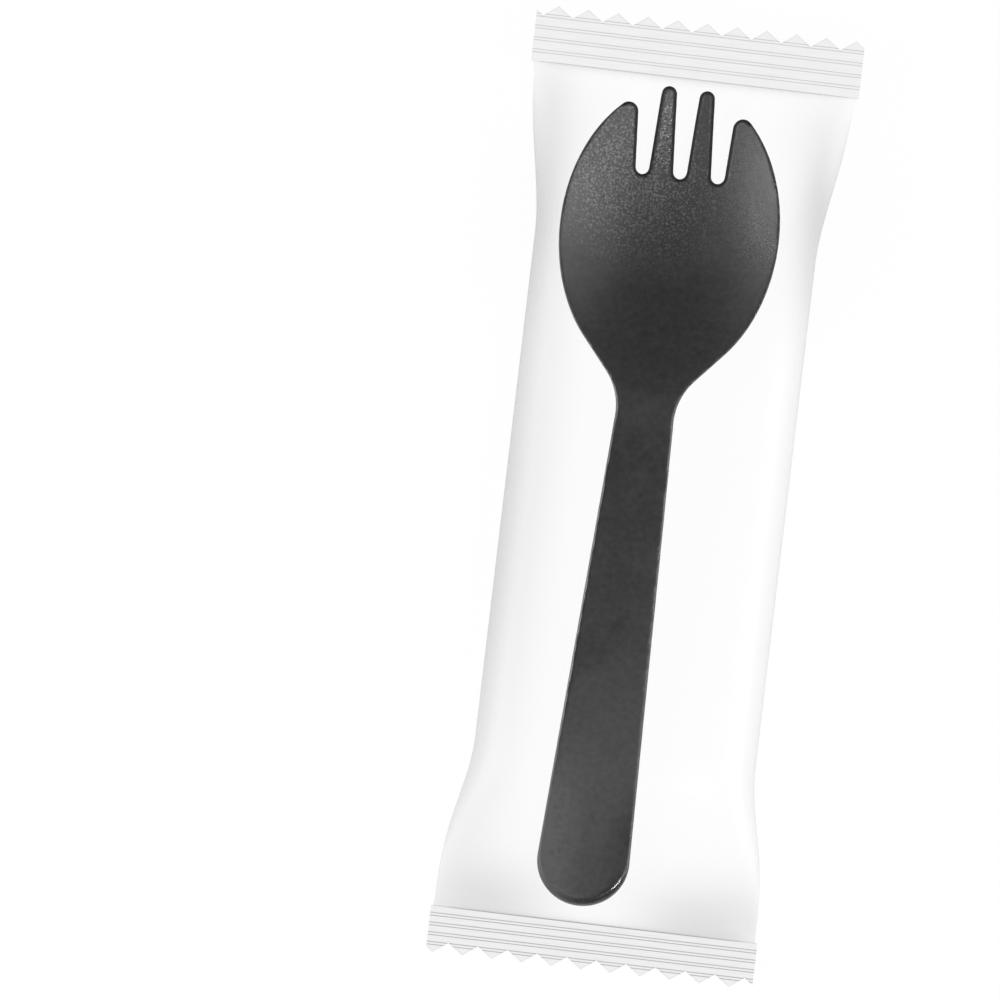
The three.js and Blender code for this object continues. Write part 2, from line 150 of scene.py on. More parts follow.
# Spork, in millimetres along it from the end of its handle
spork = {
    "length": 160.4, "handleEndRadius": 9.0, "neckHalfWidth": 5.72, "neckToBowlCentre": 36.3,
    "neckFillet": 12, "flankAngle": 49.4, "bowlHalfWidth": 21.3, "bowlBack": 29.2,
    "bowlFront": 28.8, "tipTrim": 0.7,
    "wall": 1.35, "bowlDepth": 6.5, "rimSlope": 0.03, "neckHeight": 9.2, "neckBlend": 2.0,
    "handleFlange": 2.9, "handleCrown": -0.2, "endDish": 0.7, "endDishLength": 32,
    "endEdgeRound": 2.2, "sideEdgeRound": 0.25, "endRoundFade": 14, "bowlEdgeRound": 0.15,
    "sideDraft": 0.14, "draftBelow": 0.25, "draftFromAxis": 1,
    "polishedRim": 2.4, "polishedRimFade": 0.8, "polishedLength": 8, "polishedFade": 4,
    "polishedMiddle": 0.8, "polishedAcross": 7,
    "paintedLightAndPolishLength": 14, "paintedLightAndPolishFade": 18, "paintedLightAndPolishAcross": 6, "finishPastNeck": 20,
    "flangeWall": 1.3, "flangeFadeBeforeNeck": 6, "flangeFadeLength": 24,
    "slotLength": 17.4, "slotSpacing": 7.4, "slotShift": 0.6, "slotLean": -0.033,
    "slotRootRadius": 1.32, "slotGrowth": 0.059, "slotCut": (-5, 20),
    "lobeTipRadius": 1.85, "lobeTurns": (0.3, 1.4), "halvings": 40, "tipReach": 12, "arcPoints": 24,
    "endRows": 40, "handleRows": 90, "filletRows": 12, "flankRows": 16, "backRows": 50, "frontRows": 64,
    "nearEdge": [0, 0.06, 0.15, 0.3, 0.5, 0.75, 1.0, 1.3, 1.45], "innerColumns": 19,
    "place": (-3.75, -80.575, 0.4), "turn": -1,
    "mergeWithin": 0.0005, "voxel": 0.32, "smoothing": 4, "smoothFactor": 0.5,
    "rimWidth": 0.6, "rimDrop": 0.75, "rimSteepness": 1.3, "rimUnderside": 0.4, "rimMargin": 2,
    "mattRimPaintedShadeLevel": 2.2, "mattRimPaintedShadeFade": 1.6,
}
bowlCentre = spork["length"] + spork["tipTrim"] - spork["bowlFront"]
neckStation = bowlCentre - spork["neckToBowlCentre"]


def bowlPoint(turn):
    length = spork["bowlBack"] if turn < 0 else spork["bowlFront"]
    return np.array((spork["bowlHalfWidth"] * cos(turn), bowlCentre + length * sin(turn)))


def sharesOf(rowsName):
    return np.linspace(0, 1, spork[rowsName])[1:]


# Rows from the handle to the tines: a point on the right edge, and the axis point it runs to
def sporkRows():
    endRadius, fillet = spork["handleEndRadius"], spork["neckFillet"]
    fromEnd = (spork["neckHalfWidth"], neckStation - endRadius)
    taper = atan2(fromEnd[1], fromEnd[0]) - acos(endRadius / hypot(*fromEnd))
    flank = radians(spork["flankAngle"])
    bowlTurn = -atan2(spork["bowlBack"], spork["bowlHalfWidth"] * sin(flank) / cos(flank))
    bowlTangent = bowlPoint(bowlTurn)
    across = np.array((cos(taper), sin(taper)))
    aside = np.array((sin(flank), -cos(flank)))
    reachTaper = fillet + across @ (spork["neckHalfWidth"], neckStation)
    reachFlank = fillet + aside @ bowlTangent
    scale = across[0] * aside[1] - across[1] * aside[0]
    filletCentre = np.array((
        (reachTaper * aside[1] - reachFlank * across[1]) / scale,
        (reachFlank * across[0] - reachTaper * aside[0]) / scale,
    ))
    endCentre = np.array((0, endRadius))
    onCircle = lambda centre, radius, turn: centre + radius * np.array((cos(turn), sin(turn)))
    rows = []
    for turn in np.linspace(-pi / 2, taper, spork["endRows"]):
        rows.append((onCircle(endCentre, endRadius, turn), endCentre))
    start, end = rows[-1][0], onCircle(filletCentre, fillet, taper + pi)
    filletTurns = np.linspace(taper + pi, flank + pi / 2, spork["filletRows"])[1:]
    edge = [mix(start, end, share) for share in sharesOf("handleRows")]
    edge += [onCircle(filletCentre, fillet, turn) for turn in filletTurns]
    edge += [mix(edge[-1], bowlTangent, share) for share in sharesOf("flankRows")]
    edge += [bowlPoint(bowlTurn * (1 - share)) for share in sharesOf("backRows")]
    rows += [(point, np.array((0, point[1]))) for point in edge]
    for turn in np.linspace(0, pi / 2, spork["frontRows"])[1:]:
        rows.append((bowlPoint(turn), np.array((0, bowlCentre))))
    return rows


def intoBowl(station):
    return easeInOut((station - neckStation + spork["flangeFadeBeforeNeck"]) / spork["flangeFadeLength"])


def deckHeight(station):
    climb = min(station / neckStation, 1)
    return mix(spork["handleFlange"], spork["neckHeight"], (1 - cos(pi * climb)) / 2)


# Upper face: the hollowed handle runs into the dish of the bowl with a soft blend
def upperHeight(x, station):
    crown = mix(spork["handleCrown"] - spork["endDish"], spork["handleCrown"],
                easeInOut(station / spork["endDishLength"]))
    deck = deckHeight(station) - crown * (1 - intoBowl(station)) * (x / spork["handleEndRadius"]) ** 2
    along = station - bowlCentre
    length = spork["bowlBack"] if along < 0 else spork["bowlFront"]
    outFrom = (x / spork["bowlHalfWidth"]) ** 2 + (along / length) ** 2
    dish = spork["wall"] + spork["bowlDepth"] * outFrom - spork["rimSlope"] * along
    overlap = max(spork["neckBlend"] - abs(deck - dish), 0)
    return min(deck, dish) - overlap ** 2 / (4 * spork["neckBlend"])


# Radius of the handle's upper edge, wide at its end and small along its sides
def handleRound(station):
    return mix(spork["endEdgeRound"], spork["sideEdgeRound"], easeInOut(station / spork["endRoundFade"]))


def edgeDrop(fromEdge, station):
    radius = mix(handleRound(station), spork["bowlEdgeRound"], intoBowl(station))
    short = max(radius - fromEdge, 0)
    return radius - sqrt(radius ** 2 - short ** 2)


# Lower face: a plain wall under the upper face, with a flange round the handle
def lowerHeight(x, station, fromEdge):
    plain = upperHeight(x, station) - spork["wall"]
    skirt = deckHeight(station) - spork["handleFlange"]
    return plain if fromEdge > spork["flangeWall"] else mix(skirt, plain, intoBowl(station))


# Distances from the edge at which a row has its points
def rowShares(row):
    near = spork["nearEdge"]
    return near + list(np.linspace(near[-1], row, spork["innerColumns"])[1:])


# A sheet of rows, thickened downwards into the closed shape of the spork before its slots
def addSporkBlank():
    rows = sporkRows()
    half = len(spork["nearEdge"]) + spork["innerColumns"] - 2
    piece = addGrid("spork_plastic", 2 * half, len(rows) - 1)
    mesh = bmesh.new()
    mesh.from_mesh(piece.data)
    mesh.verts.ensure_lookup_table()
    edgeLayer = mesh.verts.layers.float.new("fromEdge")
    for j, (edge, hub) in enumerate(rows):
        row = hypot(*(edge - hub))
        shares = rowShares(row)
        for i in range(2 * half + 1):
            side, column = (-1, i) if i < half else (1, 2 * half - i)
            fromEdge = shares[column]
            x, y = mix(edge, hub, fromEdge / row)
            vertex = mesh.verts[j * (2 * half + 1) + i]
            vertex.co = (side * x, y, upperHeight(x, y) - edgeDrop(fromEdge, y))
            vertex[edgeLayer] = fromEdge
    mesh.to_mesh(piece.data)
    mesh.free()
    under, onAxisWithin = -100, 1e-4
    editMode(
        piece,
        lambda: bpy.ops.mesh.extrude_region_move(TRANSFORM_OT_translate={"value": (0, 0, under)}),
    )
    mesh = bmesh.new()
    mesh.from_mesh(piece.data)
    edgeLayer = mesh.verts.layers.float["fromEdge"]
    onAxis = [
        face for face in mesh.faces if all(abs(vertex.co.x) < onAxisWithin for vertex in face.verts)
    ]
    bmesh.ops.delete(mesh, geom=onAxis, context="FACES_ONLY")
    for vertex in mesh.verts:
        if vertex.co.z < under / 2:
            vertex.co.z = lowerHeight(vertex.co.x, vertex.co.y, vertex[edgeLayer])
    mesh.to_mesh(piece.data)
    mesh.free()
    editMode(piece, lambda: bpy.ops.mesh.remove_doubles(threshold=spork["mergeWithin"]))
    return piece


slotRootCentre = spork["length"] - spork["slotLength"] + spork["slotRootRadius"]


def slotHalfWidth(station):
    return spork["slotRootRadius"] + spork["slotGrowth"] * (station - slotRootCentre)


def slotMiddle(station):
    return spork["slotShift"] + spork["slotLean"] * (station - slotRootCentre)


def addPrism(name, outline, low, high):
    mesh = bpy.data.meshes.new(name)
    mesh.from_pydata([(x, y, low) for x, y in outline], [], [list(range(len(outline)))])
    piece = bpy.data.objects.new(name, mesh)
    scene.collection.objects.link(piece)
    editMode(
        piece,
        lambda: bpy.ops.mesh.extrude_region_move(TRANSFORM_OT_translate={"value": (0, 0, high - low)}),
    )
    return piece


def arc(centre, radius, start, end, count):
    turns = np.linspace(start, end, count)
    return [(centre[0] + radius * cos(turn), centre[1] + radius * sin(turn)) for turn in turns]


# Tips as their middle, radius and the direction in which the outline leaves them
def tineTip(side):
    radius = (spork["slotSpacing"] / 2 - slotHalfWidth(spork["length"])) / (1 - spork["slotGrowth"])
    y = spork["length"] - radius
    return slotMiddle(y) + side * spork["slotSpacing"] / 2, y, radius, pi / 2


# A lobe's round tip touches the slot's wall and the outline of the bowl
def lobeTip(side):
    radius = spork["lobeTipRadius"]
    low, high = spork["lobeTurns"]
    for _ in range(spork["halvings"]):
        turn = (low + high) / 2
        leave = atan2(sin(turn) / spork["bowlFront"], cos(turn) / spork["bowlHalfWidth"])
        across, y = bowlPoint(turn) - radius * np.array((cos(leave), sin(leave)))
        if across > spork["slotSpacing"] + slotHalfWidth(y) + radius + side * slotMiddle(y):
            low = turn
        else:
            high = turn
    return side * across, y, radius, leave


# One outline per slot, which also rounds the tips on its two sides
def slotOutlines():
    root, reach, count = spork["slotRootRadius"], spork["tipReach"], spork["arcPoints"]
    tips = [lobeTip(-1), tineTip(-1), tineTip(1), lobeTip(1)]
    outlines = []
    for index, (left, right) in enumerate(zip(tips, tips[1:])):
        across = spork["slotShift"] + (index - 1) * spork["slotSpacing"]
        outline = arc((across, slotRootCentre), root, pi, 2 * pi, count)
        outline += arc(right, right[2], pi, right[3], count)
        outline.append((right[0] + reach * cos(right[3]), right[1] + reach * sin(right[3])))
        outline.append((left[0] - reach * cos(left[3]), left[1] + reach * sin(left[3])))
        outline += arc(left, left[2], pi - left[3], 0, count)
        outlines.append(outline)
    return outlines


# Shortest distance in plan from each point to a closed outline
def distanceTo(points, outline):
    starts = np.array(outline)
    runs = np.roll(starts, -1, axis=0) - starts
    nearest = np.full(len(points), np.inf)
    for start, run in zip(starts, runs):
        share = np.clip((points - start) @ run / (run @ run), 0, 1)
        gap = points - start - share[:, None] * run
        nearest = np.minimum(nearest, np.hypot(gap[:, 0], gap[:, 1]))
    return nearest


# The slots' upper edges fall away steeply and are marked as a matt rim with painted shade, and the lower
# ones are eased
def roundSlotEdges(piece, outlines):
    points = readPoints(piece)
    near = points[:, 1] > spork["length"] - spork["slotLength"] - spork["rimMargin"]
    moved = points[near]
    fromEdge = np.min([distanceTo(moved[:, :2], outline) for outline in outlines], axis=0)
    drop = spork["rimDrop"] * np.clip(1 - fromEdge / spork["rimWidth"], 0, 1) ** spork["rimSteepness"]
    middle = np.array([upperHeight(x, station) - spork["wall"] / 2 for x, station in moved[:, :2]])
    side = np.clip((moved[:, 2] - middle) / (spork["wall"] / 2), -spork["rimUnderside"], 1)
    moved[:, 2] -= drop * side
    points[near] = moved
    movePoints(piece, points)
    # Where the rim is matt and its colour darkened as painted shade
    mattRimPaintedShade = np.zeros(len(points))
    mattRimPaintedShade[near] = np.clip(spork["mattRimPaintedShadeLevel"] - spork["mattRimPaintedShadeFade"] * fromEdge / spork["rimWidth"], 0, 1)
    markPoints(piece, "mattRimPaintedShade", mattRimPaintedShade)


# The handle's sides draw in below, its end has a polished rim, and its left half is paler, a painted
# highlight
def finishHandle(piece):
    points = readPoints(piece)
    polish, paintedLightAndPolish = np.zeros(len(points)), np.zeros(len(points))
    for i in np.nonzero(points[:, 1] < neckStation + spork["finishPastNeck"])[0]:
        x, station, height = points[i]
        draftTop = deckHeight(station) - handleRound(station) - spork["draftBelow"]
        below = max(draftTop - height, 0) * (1 - intoBowl(station))
        outward = Vector((x, station)) - Vector((0, max(station, spork["handleEndRadius"])))
        if outward.length > spork["draftFromAxis"]:
            points[i, :2] -= np.array(outward.normalized()) * below * spork["sideDraft"]
        pastRim = outward.length - spork["handleEndRadius"] + spork["polishedRim"]
        onRim = clamp(pastRim / spork["polishedRimFade"])
        atEnd = clamp((spork["polishedLength"] - station) / spork["polishedFade"])
        toRight = clamp(spork["polishedMiddle"] + x / spork["polishedAcross"])
        polish[i] = onRim * atEnd * toRight
        # Paler towards the left as a painted highlight, and smoother towards the right
        fading = easeInOut((station - spork["paintedLightAndPolishLength"]) / spork["paintedLightAndPolishFade"])
        paintedLightAndPolish[i] = -x / spork["paintedLightAndPolishAcross"] * (1 - fading)
    movePoints(piece, points)
    markPoints(piece, "polish", polish)
    markPoints(piece, "paintedLightAndPolish", paintedLightAndPolish)


def addSpork():
    piece = addSporkBlank()
    outlines = slotOutlines()
    for outline in outlines:
        cut(piece, addPrism("slot", outline, *spork["slotCut"]), "DIFFERENCE")
    applyModifier(piece, "REMESH", mode="VOXEL", voxel_size=spork["voxel"])
    applyModifier(piece, "SMOOTH", factor=spork["smoothFactor"], iterations=spork["smoothing"])
    roundSlotEdges(piece, outlines)
    applyModifier(piece, "SMOOTH", factor=spork["smoothFactor"], iterations=1)
    finishHandle(piece)
    turn = Matrix.Rotation(radians(spork["turn"]), 4, "Z")
    place = Matrix.Translation(Vector(spork["place"]))
    piece.data.transform(Matrix.Scale(mm, 4) @ place @ turn)
    selectOnly(piece)
    bpy.ops.object.shade_smooth()
    return piece


sporkPiece = addSpork()
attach(sporkPiece, "root")
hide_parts("spork")
print("spork made:", len(sporkPiece.data.polygons), "faces")


# Film pack, in millimetres: a tube of constant girth, crimped flat at both ends
film = {
    "thickness": 0.05, "flatWidth": 64, "pillowHeight": 17.6, "widestHeight": 7.7,
    "topFullness": 4.4, "mouthLength": 0.8, "seamWidth": 6, "seamMargin": 1,
    "ribCount": 4, "ribWidth": 0.55, "ribRise": 0.22, "ribFlank": 0.1,
    "toothPitch": 5.81, "toothDepth": 2.15, "firstToothTip": -27.8,
    "around": 150, "along": 150, "backPoints": 60, "frontPoints": 240, "halvings": 30,
    "firstStep": 0.25, "stepGrowth": 7, "nearSteps": 16, "middleFrom": 12.5,
    "leastDepth": 0.03, "sealOverlap": 0.2, "hollowInset": 0.1, "mergeWithin": 0.00005,
    "ventDiameter": 0.8, "ventPlace": (-6, -22.575), "ventPoints": 24,
    "ventCut": (-4, 4), "outlineCut": (-20, 30), "sharpAngle": 32, "facesLookedThrough": 4,
}
tineEnd = {
    "line": 81.625, "outward": 1, "height": 6.286, "depth": 9.0, "firstRib": 2.1, "lastRib": 9.03,
    "shoulder": 33, "mouthAbove": 3.8, "mouthBelow": 2.9, "contact": 22,
}
handleEnd = {
    "line": -83.675, "outward": -1, "height": 1.85, "depth": 6.95, "firstRib": 1.67, "lastRib": 7.34,
    "shoulder": 34, "mouthAbove": 2.6, "mouthBelow": 1.7, "contact": 3.2,
}


# Heights of the film at a station: it opens at once next to a seal and then swells slowly
def pillowAt(y):
    toTines = max(tineEnd["line"] - y, 0)
    toHandle = max(y - handleEnd["line"], 0)
    if toTines / tineEnd["shoulder"] < toHandle / handleEnd["shoulder"]:
        return pillowNear(tineEnd, toTines)
    return pillowNear(handleEnd, toHandle)


def pillowNear(end, distance):
    opened = 1 - exp(-distance / film["mouthLength"])
    filled = easeInOut(distance / end["shoulder"])
    offFloor = max(1 - distance / end["contact"], 0) ** 2
    widest = mix(end["height"], film["widestHeight"], filled)
    swelling = film["pillowHeight"] - end["height"] - end["mouthAbove"]
    crest = end["height"] + end["mouthAbove"] * opened + swelling * filled
    lowest = (end["height"] - end["mouthBelow"] * opened) * offFloor
    return widest, widest - lowest, crest - widest, filled


# Right half of a section, from the middle of its back round to the middle of its front
def sectionHalf(halfWidth, widest, below, above, filled):
    corner = mix(halfWidth - film["seamWidth"] / 2 - film["seamMargin"], below, filled)
    fullness = mix(2, film["topFullness"], filled)
    low = np.linspace(0, pi / 2, film["backPoints"])
    high = np.linspace(pi / 2, 0, film["frontPoints"])[1:]
    backX = halfWidth - corner + corner * np.sin(low)
    frontX = halfWidth * np.sin(high) ** (2 / fullness)
    x = np.concatenate(([0], backX, frontX))
    z = np.concatenate(([widest - below], widest - below * np.cos(low), widest + above * np.cos(high)))
    x[-1] = 0
    return x, z


def lengthAlong(x, z):
    return np.concatenate(([0], np.cumsum(np.hypot(np.diff(x), np.diff(z)))))


# Half width at which the section's girth is that of the flat film
def halfWidthFor(section):
    narrow, wide = 0, film["flatWidth"] / 2
    for _ in range(film["halvings"]):
        middle = (narrow + wide) / 2
        if lengthAlong(*sectionHalf(middle, *section))[-1] < film["flatWidth"]:
            narrow = middle
        else:
            wide = middle
    return (narrow + wide) / 2


# One closed ring of evenly spaced points, set in from the outer face
def filmRing(y, inset):
    widest, below, above, filled = pillowAt(y)
    halfWidth = halfWidthFor((widest, below, above, filled))
    below, above = [max(depth - inset, film["leastDepth"]) for depth in (below, above)]
    x, z = sectionHalf(halfWidth - inset, widest, below, above, filled)
    travelled = lengthAlong(x, z)
    count = film["around"] // 2
    even = np.linspace(0, travelled[-1], count + 1)
    right = [(px, y, pz) for px, pz in zip(np.interp(even, travelled, x), np.interp(even, travelled, z))]
    left = [(-px, y, pz) for px, y, pz in right[1:-1][::-1]]
    return right + left + right[:1]


# Places of the rings along the pack, closer together where the film opens next to a seal
def stations(endInset):
    near = film["firstStep"] * np.linspace(1, film["stepGrowth"], film["nearSteps"])[:-1] ** 2
    low, high = handleEnd["line"], tineEnd["line"]
    count = film["along"] - 2 * len(near) - 2
    middle = np.linspace(low + film["middleFrom"], high - film["middleFrom"], count)
    return np.concatenate(([low + endInset], low + near, middle, (high - near)[::-1], [high - endInset]))


def mergeAndClose(piece):
    editMode(
        piece,
        lambda: bpy.ops.mesh.remove_doubles(threshold=film["mergeWithin"]),
        lambda: bpy.ops.mesh.select_all(action="DESELECT"),
        lambda: bpy.ops.mesh.select_non_manifold(),
        lambda: bpy.ops.mesh.edge_face_add(),
    )


def addTube(name, inset, endInset):
    places = stations(endInset)
    piece = addGrid(name, film["around"], len(places) - 1)
    movePoints(piece, [point for y in places for point in filmRing(y, inset)])
    mergeAndClose(piece)
    return piece


# Corrugated band of two fused layers, drawn along the pack and run across it
def addBand(end):
    line = [(0, 0)]
    spacing = (end["lastRib"] - end["firstRib"]) / (film["ribCount"] - 1)
    for rib in range(film["ribCount"]):
        middle = end["firstRib"] + rib * spacing
        for side in (-1, 1):
            edge = middle + side * film["ribWidth"] / 2
            before, after = (0, film["ribRise"]) if side < 0 else (film["ribRise"], 0)
            line += [(edge - film["ribFlank"], before), (edge + film["ribFlank"], after)]
    line.append((end["lastRib"] + 2 * film["toothDepth"], 0))
    loop = [(s, z + film["thickness"]) for s, z in line]
    loop += [(s, z - film["thickness"]) for s, z in line[::-1]]
    reach = film["flatWidth"] / 2
    points = [(-reach, end["line"] + end["outward"] * s, end["height"] + z) for s, z in loop]
    mesh = bpy.data.meshes.new("band")
    mesh.from_pydata(points, [], [list(range(len(points)))])
    piece = bpy.data.objects.new("band", mesh)
    scene.collection.objects.link(piece)
    editMode(
        piece,
        lambda: bpy.ops.mesh.extrude_region_move(TRANSFORM_OT_translate={"value": (2 * reach, 0, 0)}),
    )
    return piece


# Both ends are cut by the same zigzag knife
def zigzag(rootLine):
    reach, first, half = film["flatWidth"] / 2, film["firstToothTip"], film["toothPitch"] / 2
    corners = [first + k * half for k in range(-1, int(2 * reach / half))]
    outline = []
    for x in [-reach] + [x for x in corners if -reach < x < reach] + [reach]:
        turns = (x - first) / film["toothPitch"]
        outline.append((x, rootLine + film["toothDepth"] * (1 - 2 * abs(turns - round(turns)))))
    return outline


# The doubled strip down the middle of the back
def addSeamLap():
    reach, thickness = film["seamWidth"] / 2, film["thickness"]
    places = stations(0)[1:-1]
    points = []
    for y in places:
        widest, below = pillowAt(y)[:2]
        face = widest - below
        low, high = face + thickness / 2, face + 2 * thickness
        corners = [(-reach, high), (-reach, low), (reach, low), (reach, high), (-reach, high)]
        points += [(x, y, z) for x, z in corners]
    piece = addGrid("lap", len(corners) - 1, len(places) - 1)
    movePoints(piece, points)
    mergeAndClose(piece)
    return piece


# Soft grey patches of painted shade where the film leans: place, reach across and along, and strength
paintedShadeSpots = [
    (26, 58, 4, 12, 0.17), (27, 63, 2.5, 8, 0.08), (-27, 55, 4.5, 14, 0.13), (-29, -5, 9, 70, 0.24),
    (28, 45, 5, 10, 0.08), (-29, 40, 5, 12, 0.06),
    (19, -82, 12, 8, 0.23), (-20, -82, 12, 8, 0.2), (28, -80, 6, 8, 0.09), (27, 74, 7, 8, 0.07),
    (-27, 72, 4.5, 10, 0.07),
]


def addPaintedShade(piece):
    x, y = readPoints(piece)[:, :2].T
    shade = np.zeros(len(x))
    for across, along, wide, tall, strength in paintedShadeSpots:
        shade += strength * np.exp(-((x - across) / wide) ** 2 - ((y - along) / tall) ** 2)
    markPoints(piece, "paintedShade", 1 - (1 - shade) ** (1 / film["facesLookedThrough"]))


def addFilm():
    piece = addTube("film_pack", 0, -film["sealOverlap"])
    cut(piece, addBand(tineEnd), "UNION")
    cut(piece, addBand(handleEnd), "UNION")
    low = zigzag(handleEnd["line"] - handleEnd["depth"] - film["toothDepth"])
    high = zigzag(tineEnd["line"] + tineEnd["depth"])
    cut(piece, addPrism("outline", low + high[::-1], *film["outlineCut"]), "INTERSECT")
    hollow = addTube("hollow", film["thickness"], film["hollowInset"])
    cut(hollow, addSeamLap(), "DIFFERENCE")
    cut(piece, hollow, "DIFFERENCE")
    vent = arc(film["ventPlace"], film["ventDiameter"] / 2, 0, 2 * pi, film["ventPoints"] + 1)[:-1]
    cut(piece, addPrism("vent", vent, *film["ventCut"]), "DIFFERENCE")
    addPaintedShade(piece)
    piece.data.transform(Matrix.Scale(mm, 4))
    selectOnly(piece)
    bpy.ops.object.shade_smooth_by_angle(angle=radians(film["sharpAngle"]))
    return piece


filmPiece = addFilm()
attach(filmPiece, "root")
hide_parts("film_wrapper")
print("film made:", len(filmPiece.data.polygons), "faces")


def newMaterial(name):
    material = bpy.data.materials.new(name)
    material.use_nodes = True
    tree = material.node_tree
    tree.nodes.clear()
    return material, tree.nodes, tree.links


def addNode(nodes, kind, place, **settings):
    node = nodes.new(kind)
    node.location = place
    for key, value in settings.items():
        setattr(node, key, value)
    return node


# Film: what one face lets through, from seen face on (0) to seen edge on (1), greyer at a slant partly as
# the film's own loss and partly as painted shade, and its faint mirror
clear = {
    "slantLossAndPaintedShade": [
        (0, 0.9998), (0.1, 0.999), (0.25, 0.994), (0.45, 0.989), (0.65, 0.987), (0.85, 0.99), (1, 0.992),
    ],
    "tineSeal": [(0, 0.971), (0.05, 0.96), (0.25, 0.85), (0.5, 0.80), (0.8, 0.9), (1, 0.95)],
    "handleSeal": [(0, 0.966), (0.05, 0.95), (0.25, 0.76), (0.5, 0.68), (0.8, 0.85), (1, 0.95)],
    "gloss": 0.32, "plainMirror": 0.003, "grazingMirror": 0.25,
    "grazingPower": 4,
    "cutEdge": 0.35, "cutTint": 0.975, "tineLineTint": 0.95, "handleLineTint": 0.89, "lineWidth": 0.22,
    "streakTint": 0.94, "streakScale": (160, 2600, 0), "streakTurn": 0.04, "streakDetail": 2,
}


def grey(level):
    return (level, level, level, 1)


def addRamp(nodes, place, levels):
    ramp = addNode(nodes, "ShaderNodeValToRGB", place)
    stops = ramp.color_ramp.elements
    for index, (position, level) in enumerate(levels):
        stop = stops[index] if index < 2 else stops.new(position)
        stop.position = position
        stop.color = grey(level)
    return ramp


# A socket takes a link from another socket, and otherwise a plain value
def feed(links, socket, value):
    if isinstance(value, bpy.types.NodeSocket):
        links.new(value, socket)
    else:
        socket.default_value = value


def calculate(nodes, links, operation, *inputs):
    node = addNode(nodes, "ShaderNodeMath", (0, 0), operation=operation)
    for socket, value in zip(node.inputs, inputs):
        feed(links, socket, value)
    return node.outputs["Value"]


def blendColours(nodes, links, place, share, lower, upper, blending="MIX"):
    node = addNode(nodes, "ShaderNodeMix", place, data_type="RGBA", blend_type=blending)
    for name, value in (("Factor", share), ("A", lower), ("B", upper)):
        feed(links, node.inputs[name], value)
    return node.outputs["Result"]


def addNoise(nodes, links, place, where, scale, detail):
    noise = addNode(nodes, "ShaderNodeTexNoise", place)
    for name, value in (("Vector", where), ("Scale", scale), ("Detail", detail)):
        feed(links, noise.inputs[name], value)
    return noise.outputs["Fac"]


# A number that markPoints left on the piece
def readMark(nodes, place, name):
    return addNode(nodes, "ShaderNodeAttribute", place, attribute_name=name).outputs["Fac"]


